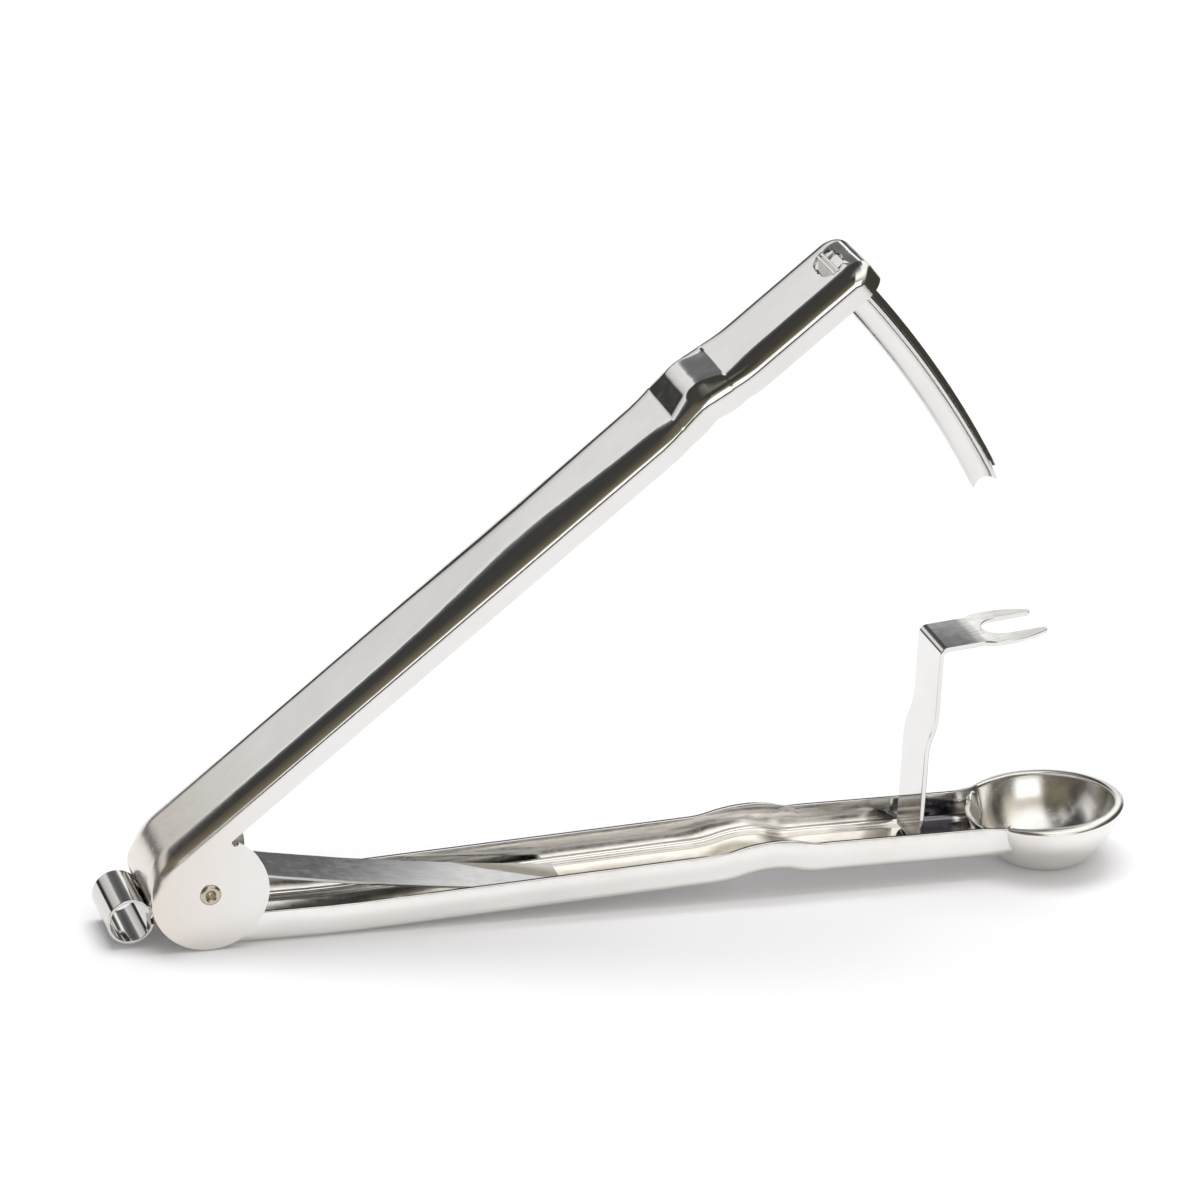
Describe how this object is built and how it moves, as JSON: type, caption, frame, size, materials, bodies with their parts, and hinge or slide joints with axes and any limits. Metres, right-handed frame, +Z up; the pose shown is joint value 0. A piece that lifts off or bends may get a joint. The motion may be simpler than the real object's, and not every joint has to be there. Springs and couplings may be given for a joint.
{
  "type": "cherry pitter",
  "caption": "Hand-held cherry pitter: pressed steel arms on a rivet, held open by a leaf spring, with a curved plunger over a cup and fork.",
  "frame": {"origin": "on the surface that the tool lies on, midway between the spring loop's far end and the cup's far rim, in the middle of its width", "axes": "+X from the rivet to the cup, +Y across the arms, +Z up from the surface that the tool lies on"},
  "size_m": [0.1758, 0.027, 0.1102],
  "materials": {
    "polished_steel": "polished",
    "spring_steel": "polished"
  },
  "bodies": {
    "lower": {"lower_arm": "polished_steel", "fork": "polished_steel", "leaf_spring": "spring_steel"},
    "upper": {"upper_arm": "polished_steel", "plunger": "polished_steel", "pivot_rivet": "polished_steel"}
  },
  "joints": [
    {"name": "arm_hinge", "type": "hinge", "parent": "lower", "child": "upper", "pos_m": [-0.07176, 0, 0.0099], "axis": [0, 1, 0], "range_deg": [0, 28], "stiffness_Nm_per_rad": 1.6, "springref_deg": -20.05, "deforming": ["leaf_spring"]}
  ]
}
